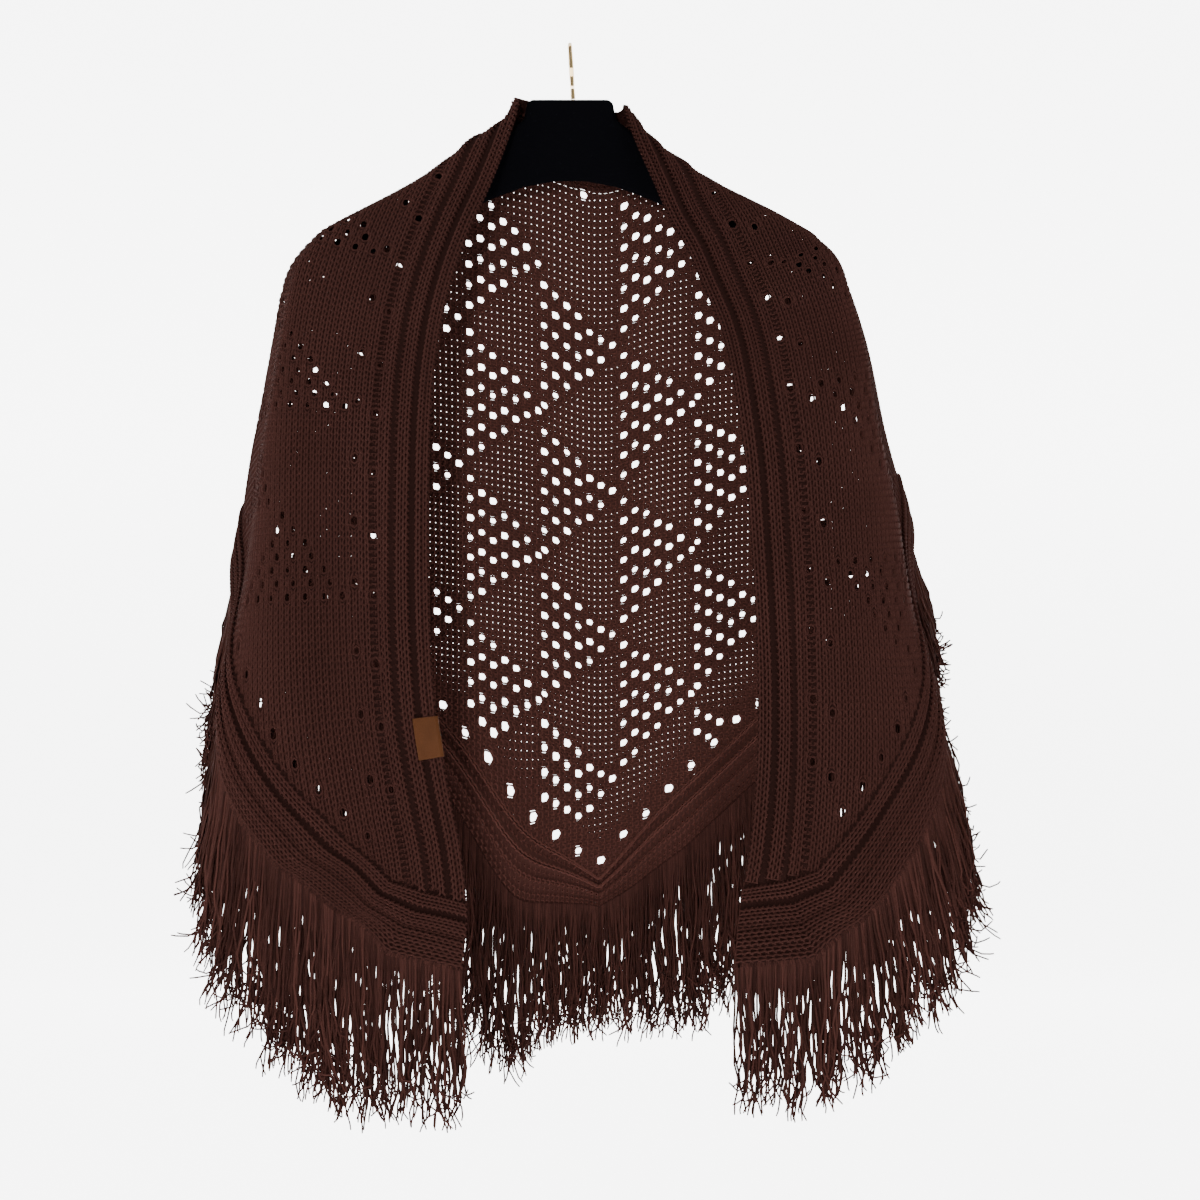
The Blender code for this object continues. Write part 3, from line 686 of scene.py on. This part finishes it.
def tubes(paths, outs, radius):
    """Tubes round many paths of as many points each: their points and their four-cornered faces."""
    count, length = paths.shape[:2]
    rings = ring_of_tube(np.gradient(paths, axis=1), outs)
    radius = np.broadcast_to(radius, (count, length))[..., None, None]
    points = (paths[:, :, None] + rings * radius).reshape(-1, 3)
    first = (np.arange(count) * length * SIDES)[:, None, None]
    along = (np.arange(length - 1) * SIDES)[:, None]
    here = first + along + np.arange(SIDES)
    after = first + along + (np.arange(SIDES) + 1) % SIDES
    return points, np.stack([here, after, after + SIDES, here + SIDES], -1).reshape(-1, 4)


def joined(parts):
    """Points and faces of several parts in one pair of arrays."""
    points, faces, start = [], [], 0
    for some, corners in parts:
        points.append(some)
        faces.append(corners + start)
        start += len(some)
    return np.concatenate(points), np.concatenate(faces)


def add_piece(name, mesh, material, nodes):
    """Adds a finished mesh as a piece that stands for the given nodes of the frame."""
    mesh.materials.append(bpy.data.materials[material])
    piece = bpy.data.objects.new(name, mesh)
    bpy.context.scene.collection.objects.link(piece)
    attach(piece, "root")
    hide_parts(*nodes)
    return piece


def rounded_copy(name, node, radius, material):
    """A finer copy of one of the frame's nodes, with its sharp edges rounded."""
    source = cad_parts[node]
    bm = bmesh.new()
    bm.from_mesh(source.data)
    bm.transform(source.matrix_world)
    bmesh.ops.remove_doubles(bm, verts=bm.verts, dist=0.00001)
    bmesh.ops.dissolve_limit(bm, angle_limit=0.02, verts=bm.verts, edges=bm.edges)
    sharp = [edge for edge in bm.edges if len(edge.link_faces) == 2 and edge.calc_face_angle() > SHARP]
    bmesh.ops.bevel(bm, geom=sharp, offset=radius, segments=3, affect="EDGES", profile=0.5, material=-1,
                    clamp_overlap=True)
    bmesh.ops.triangulate(bm, faces=[face for face in bm.faces if len(face.verts) > 4])
    mesh = bpy.data.meshes.new(name)
    bm.to_mesh(mesh)
    bm.free()
    mesh.shade_smooth()
    return add_piece(name, mesh, material, [node])


def mesh_of(name, points, faces, shades=None):
    """A smooth mesh of four-cornered faces, from points in millimetres, with a shade for each if given."""
    mesh = bpy.data.meshes.new(name)
    mesh.vertices.add(len(points))
    mesh.vertices.foreach_set("co", (points * MM).astype(np.float32).ravel())
    mesh.loops.add(faces.size)
    mesh.loops.foreach_set("vertex_index", faces.astype(np.int32).ravel())
    mesh.polygons.add(len(faces))
    mesh.polygons.foreach_set("loop_start", np.arange(0, faces.size, 4, dtype=np.int32))
    mesh.update(calc_edges=True)
    mesh.shade_smooth()
    if shades is not None:
        mesh.attributes.new("shade", "FLOAT", "POINT").data.foreach_set("value", shades.astype(np.float32))
    return mesh


def make_ground(name, knitting, keep, nodes):
    """The thin sheet that the loops run through, with one face for each stitch."""
    bm = bmesh.new()
    bmesh.ops.create_grid(bm, x_segments=knitting.courses, y_segments=knitting.columns, size=0.5)
    half = max(vertex.co.x for vertex in bm.verts)
    cells = bm.loops.layers.uv.new("cells")
    for vertex in bm.verts:
        vertex.co.x = (vertex.co.x / half + 1) / 2 * knitting.courses
        vertex.co.y = (vertex.co.y / half + 1) / 2 * knitting.columns
    for face in bm.faces:
        for loop in face.loops:
            loop[cells].uv = loop.vert.co.xy
    middles = np.array([face.calc_center_median() for face in bm.faces])
    kept = keep(*knitting.place(middles[:, 0], middles[:, 1]))
    bmesh.ops.delete(bm, geom=[face for face, stays in zip(bm.faces, kept) if not stays], context="FACES")
    flat = np.array([vertex.co for vertex in bm.verts])
    p, q = knitting.place(flat[:, 0], flat[:, 1])
    middle, out = surface(*knitting.where(p, q))
    places = middle + out * (GROUND_RISE * knitting.rise(q))[:, None]
    for vertex, place in zip(bm.verts, places * MM):
        vertex.co = place
    mesh = bpy.data.meshes.new(name)
    bm.to_mesh(mesh)
    bm.free()
    mesh.shade_smooth()
    du, dv, _, _ = from_nearest(EYELETS[IS_FAN], p, q)
    near, far = PINHOLE_CLEAR
    openness = soft_step((np.hypot(du, dv) - near) / (far - near))
    openness *= np.where(abs(p) > FRONT_FROM, PINHOLE_FRONT, 1.0)
    near, far = PINHOLE_HEM
    openness *= soft_step((hem_distance(p, q) - near) / (far - near))
    mesh.attributes.new("open", "FLOAT", "POINT").data.foreach_set("value", openness.astype(np.float32))
    material = "rib_ground" if knitting.ribs else "lace_ground"
    return add_piece(name, mesh, material, nodes), kept.sum() * knitting.course * knitting.pitch


def loops_of(knitting, keep, first, last):
    """The loops of yarn of every stitch between two lines across the cloth, as points and faces."""
    along, across = np.meshgrid(np.arange(knitting.courses) + 0.5, np.arange(knitting.columns) + 0.5)
    p, q = knitting.place(along.ravel(), across.ravel())
    kept = keep(p, q) & (p >= first) & (p < last)
    p, q = p[kept, None], q[kept, None]
    turn = np.linspace(0, 2 * math.pi, LOOP_TURNS + 1)
    face = np.where(knitting.purl(q), -1.0, 1.0)
    out = -LOOP_DEPTH * np.cos(2 * turn) * face + knitting.rise(q)
    loop_p = p - LOOP_REACH * np.cos(turn)
    loop_q = q + knitting.pitch * (turn / (2 * math.pi) - 0.5) + LOOP_SWING * np.sin(2 * turn)
    middle, outwards = surface(*knitting.where(loop_p, loop_q))
    radius = bpy.context.scene.shawl_yarn.thickness / MM / 2
    return tubes(middle + outwards * out[..., None], outwards, radius)


def rims_of(first, last):
    """The yarn round each eyelet of the field between two lines across it."""
    turn = np.linspace(0, 2 * math.pi, RIM_TURNS + 1)
    some = EYELETS[(EYELETS[:, 0] >= first) & (EYELETS[:, 0] < last)]
    radius = some[:, 2:3]
    middle, outwards = surface(some[:, :1] + radius * np.cos(turn),
                               some[:, 1:2] + radius * EYELET_FLAT * np.sin(turn))
    return tubes(middle, outwards, EYELET_YARN / 2)


def knit(name, knitting, keep, stretches):
    """A cloth of one ground, with the yarn of each of its stretches: (piece, node, first, last)."""
    nodes = list(dict.fromkeys(node for _, node, _, _ in stretches))
    ground, area = make_ground(f"ground_{name}", knitting, keep, nodes)
    for label, node, first, last in stretches:
        found = [loops_of(knitting, keep, first, last)]
        if knitting.where is round_eyelets:
            found.append(rims_of(first, last))
        add_piece(f"loops_{label}", mesh_of(label, *joined(found)), "yarn_loops", [node])
    flat = [knitting.courses * knitting.course * MM, knitting.columns * knitting.pitch * MM]
    area * MM * MM


def strand_shares():
    """Shares of a strand's length at its points, which lie closer towards its end."""
    return 1 - (1 - np.linspace(0, 1, STRAND_TURNS)) ** STRAND_CLOSER


def waves_of(count, waves, length, generator):
    """Sideways waves down many strands, in x and in y, that grow towards their ends."""
    share = strand_shares()
    found = np.zeros((count, STRAND_TURNS, 3))
    for axis in (0, 1):
        for period, reach in waves:
            phase = generator.uniform(0, 2 * math.pi, count)
            size = reach * generator.uniform(*WAVE_SIZES, count)
            turn = 2 * math.pi * share * length[:, None] / period + phase[:, None]
            found[..., axis] += size[:, None] * (np.sin(turn) - np.sin(phase)[:, None]) * share
    return found


def make_fringe(side, name, first, last, generator):
    """The loose ends along the hem between two distances from the apex. They fall in locks."""
    yarn = bpy.context.scene.shawl_yarn
    locks = round((last - first) * MM * yarn.strands / LOCK_STRANDS)
    lock = np.repeat(np.arange(locks), LOCK_STRANDS)
    count = len(lock)
    at = (np.tile(np.arange(LOCK_STRANDS), locks) + generator.random(count)) / LOCK_STRANDS
    wide = (last - first) / locks
    p = first + (lock + at) * wide
    u, v = on_border(side * p, np.full(count, BORDER_WIDE + STRAND_ROOT))
    root, out = surface(u, v)
    u, v = on_border(side * p, np.full(count, BORDER_WIDE + STRAND_KNEE))
    knee, _ = surface(u, v)
    full = smooth(FRINGE_LENGTH[side], 1, abs(u))
    together = (1 - LOCK_SHORTER * generator.random(locks))[lock]
    length = full * together * (1 - STRAND_SHORTER * generator.random(count) ** 3)
    share = strand_shares()
    fall = waves_of(count, STRAND_WAVES, length, generator)
    fall += waves_of(locks, LOCK_WAVES, full[::LOCK_STRANDS], generator)[lock]
    middle = np.stack([knee[lock == k].mean(axis=0) for k in range(locks)])[lock]
    drawn = LOCK_DRAWN * soft_step(share * DRAWN_SOON)[:, None]
    fall[..., :2] += ((middle - knee)[:, None] * drawn)[..., :2]
    depth = generator.uniform(-STRAND_LAYERS, STRAND_LAYERS, count)[:, None]
    depth = depth * soft_step(share * LAYERS_SOON)
    fall[..., 1] = fall[..., 1] * STRAND_DEPTH + depth
    spread = SPREAD[side] * soft_step((abs(knee[:, 0]) - SPREAD_FROM) / SPREAD_OVER)
    fall[..., 0] += side * spread[:, None] * length[:, None] * share
    most = CURL * generator.random(count) ** 2
    turned = most[:, None] * soft_step((share - CURL_FROM) / (1 - CURL_FROM))
    steps = length[:, None] * np.diff(share, prepend=0.0)
    aside = np.cumsum(steps * np.sin(turned), axis=1)
    heading = generator.uniform(0, 2 * math.pi, count)[:, None]
    fall[..., 0] += aside * np.cos(heading) * CURL_WIDTH
    fall[..., 1] += aside * np.sin(heading) * CURL_DEPTH
    fall[..., 2] = -np.cumsum(steps * np.cos(turned), axis=1)
    paths = np.concatenate([root[:, None], knee[:, None] + fall], axis=1)
    outs = np.broadcast_to(out[:, None], paths.shape)
    thin = np.interp(np.linspace(0, 1, STRAND_TURNS + 1), *zip(*STRAND_TAPER))
    points, faces = tubes(paths, outs, thin * yarn.strand / MM / 2)
    shades = np.repeat(generator.random(count), len(points) // count)
    label = f"strands_{name}"
    return add_piece(label, mesh_of(label, points, faces, shades), "yarn_strands", [f"fringe_{name}"])


class SHAWL_OT_cloth(bpy.types.Operator):
    """Knits the lace field, the band along the long edge and the border along the short sides"""

    bl_idname = "shawl.cloth"
    bl_label = "Knitted cloth"

    def execute(self, context):
        yarn_finish("yarn_loops")
        # The rib ground is darker: painted shade between the loops and in the grooves.
        yarn_finish("rib_ground", RIB_GROUND_SHADE)
        lace_ground_finish()
        self.make_field()
        self.make_band()
        self.make_border()
        return {"FINISHED"}

    def make_field(self):
        stretches = []
        for name, (first, last) in PANELS.items():
            cuts = (first, 0, last) if name == "back" else (first, last)
            for k, (start, end) in enumerate(zip(cuts, cuts[1:])):
                label = f"{name}_{k + 1}" if len(cuts) > 2 else name
                stretches.append((f"panel_{label}", f"panel_{name}", start * CELL_U, end * CELL_U))
        columns = int((FIELD_APEX - FIELD_START) / WALE)
        courses = round(CELLS * CELL_U / COURSE)
        first, last = (FIELD_SHIFT + count * COURSE for count in (-courses, courses))
        knitting = Knitting(round_eyelets, first, last, FIELD_START, columns, WALE)
        knit("field", knitting, keep_field, stretches)

    def make_band(self):
        pitch = BAND / RIB_COLUMNS
        tip = BORDER_INNER[-1][0]
        first, last = (FIELD_SHIFT + sign * int(tip / COURSE) * COURSE for sign in (-1, 1))
        knitting = Knitting(on_band, first, last, -pitch / 2, math.ceil(RIB_COLUMNS), pitch, BAND_RIBS)
        stretches = []
        for name, cells in BANDS.items():
            ends = [math.copysign(tip, cell) if abs(cell) == CELLS else cell * CELL_U for cell in cells]
            stretches.append((f"band_{name}", f"band_{name}", *ends))
        knit("band", knitting, keep_band, stretches)

    def make_border(self):
        pitch = BORDER_WIDE / RIB_COLUMNS
        tip, cut = ALONG[-1], ALONG[BORDER_CUT]
        columns = math.ceil(RIB_COLUMNS)
        knitting = Knitting(on_border, -tip, tip, -pitch / 2, columns, pitch, BORDER_RIBS)
        ends = {"front_left": (-tip, -cut), "back_left": (-cut, 0), "back_right": (0, cut),
                "front_right": (cut, tip)}
        stretches = [(f"border_{name}", f"border_{name}", *stretch) for name, stretch in ends.items()]
        knit("border", knitting, keep_all, stretches)


class SHAWL_OT_fringe(bpy.types.Operator):
    """Hangs the loose ends of yarn along the hem"""

    bl_idname = "shawl.fringe"
    bl_label = "Fringe"

    def execute(self, context):
        strands_finish()
        generator = np.random.default_rng(FRINGE_SEED)
        for side, hand in ((-1, "left"), (1, "right")):
            make_fringe(side, f"back_{hand}", ALONG[0], ALONG[BORDER_CUT], generator)
            make_fringe(side, f"front_{hand}", ALONG[BORDER_CUT], ALONG[-1], generator)
        return {"FINISHED"}


class SHAWL_OT_trim(bpy.types.Operator):
    """Finishes the leather label, the velvet hanger and its wire hook"""

    bl_idname = "shawl.trim"
    bl_label = "Label and hanger"

    def execute(self, context):
        trim = context.scene.shawl_trim
        leather = Finish("label_leather", trim.leather, 0.6)
        leather.set("Specular IOR Level", 0.02)
        shades = leather.noise(90.0, 4.0)
        leather.set("Base Color", leather.blend(shades, tone(trim.leather, 0.75), tone(trim.leather, 1.2)))
        leather.bump(leather.noise(900.0, 4.0), 0.0004, 0.6)
        velvet = Finish("hanger_velvet", trim.velvet, 0.9)
        velvet.set("Specular IOR Level", 0.0)
        velvet.set("Sheen Weight", 0.003)
        velvet.set("Sheen Roughness", 0.35)
        velvet.bump(velvet.noise(2500.0, 2.0), 0.0003, 0.5)
        wire = Finish("hook_wire", trim.wire, 0.22, 1.0)
        wire.set("Roughness", 0.16 + wire.noise(300.0) * 0.14)
        rounded_copy("leather_label", "label", LABEL_ROUND, leather.material.name)
        rounded_copy("velvet_hanger", "hanger", HANGER_ROUND, velvet.material.name)
        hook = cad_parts["hook"].data
        hook.materials.clear()
        hook.materials.append(wire.material)
        return {"FINISHED"}


class SHAWL_OT_studio(bpy.types.Operator):
    """Sets up the floor, the lights and the camera"""

    bl_idname = "shawl.studio"
    bl_label = "Studio"

    def execute(self, context):
        studio = context.scene.shawl_studio
        finish = Finish("backdrop", studio.backdrop, 0.9)
        finish.set("Emission Color", (*studio.backdrop, 1))
        finish.set("Emission Strength", studio.glow)
        bm = bmesh.new()
        corners = [bm.verts.new((x, FLOOR_NEAR, FLOOR)) for x in (-FLOOR_HALF, FLOOR_HALF)]
        edge = bm.edges.new(corners)
        for step in ((0, FLOOR_DEEP, 0), (0, 0, WALL_TALL)):
            grown = bmesh.ops.extrude_edge_only(bm, edges=[edge])
            moved = [item for item in grown["geom"] if isinstance(item, bmesh.types.BMVert)]
            bmesh.ops.translate(bm, verts=moved, vec=step)
            edge = next(e for e in moved[0].link_edges if e.other_vert(moved[0]) is moved[1])
        fold = [e for e in bm.edges if len(e.link_faces) == 2]
        bmesh.ops.bevel(bm, geom=fold, offset=WALL_BEND, segments=16, affect="EDGES", profile=0.5,
                        material=-1)
        mesh = bpy.data.meshes.new("backdrop")
        bm.to_mesh(mesh)
        bm.free()
        mesh.shade_smooth()
        mesh.materials.append(finish.material)
        backdrop = bpy.data.objects.new("backdrop", mesh)
        context.scene.collection.objects.link(backdrop)
        for name, place, size, share in LIGHTS:
            data = bpy.data.lights.new(name, "AREA")
            data.size = size
            data.energy = studio.power * share
            lamp = bpy.data.objects.new(name, data)
            lamp.location = place
            lamp.rotation_euler = (Vector(AIM) - Vector(place)).to_track_quat("-Z", "Y").to_euler()
            context.scene.collection.objects.link(lamp)
        camera_data = bpy.data.cameras.new("camera")
        camera_data.lens = LENS
        camera = bpy.data.objects.new("camera", camera_data)
        camera.location = (CAMERA_X, -studio.distance, CAMERA_Z)
        camera.rotation_euler = (math.radians(90), 0, 0)
        context.scene.collection.objects.link(camera)
        context.scene.camera = camera
        world = bpy.data.worlds.new("studio")
        world.use_nodes = True
        world.node_tree.nodes["Background"].inputs["Color"].default_value = (1, 1, 1, 1)
        world.node_tree.nodes["Background"].inputs["Strength"].default_value = studio.ambient
        context.scene.world = world
        return {"FINISHED"}


class SHAWL_PT_panel(bpy.types.Panel):
    """Lists the settings and the operators that build the shawl"""

    bl_label = "Knitted shawl"
    bl_idname = "SHAWL_PT_panel"
    bl_space_type = "VIEW_3D"
    bl_region_type = "UI"
    bl_category = "Shawl"

    def draw(self, context):
        for group, names in GROUPS.items():
            box = self.layout.box()
            for name in getattr(context.scene, group).__annotations__:
                box.prop(getattr(context.scene, group), name)
            for operator in names:
                box.operator(operator)


GROUPS = {
    "shawl_yarn": ("shawl.cloth", "shawl.fringe"),
    "shawl_trim": ("shawl.trim",),
    "shawl_studio": ("shawl.studio",),
}
SETTINGS = {"shawl_yarn": ShawlYarn, "shawl_trim": ShawlTrim, "shawl_studio": ShawlStudio}
CLASSES = (
    ShawlYarn, ShawlTrim, ShawlStudio, SHAWL_OT_cloth, SHAWL_OT_fringe, SHAWL_OT_trim, SHAWL_OT_studio,
    SHAWL_PT_panel,
)


def register():
    for kind in CLASSES:
        bpy.utils.register_class(kind)
    for name, kind in SETTINGS.items():
        setattr(bpy.types.Scene, name, PointerProperty(type=kind))


def unregister():
    for name in SETTINGS:
        delattr(bpy.types.Scene, name)
    for kind in reversed(CLASSES):
        bpy.utils.unregister_class(kind)


def main():
    register()
    bpy.ops.shawl.cloth()
    bpy.ops.shawl.fringe()
    bpy.ops.shawl.trim()
    bpy.ops.shawl.studio()


if __name__ == "__main__":
    main()
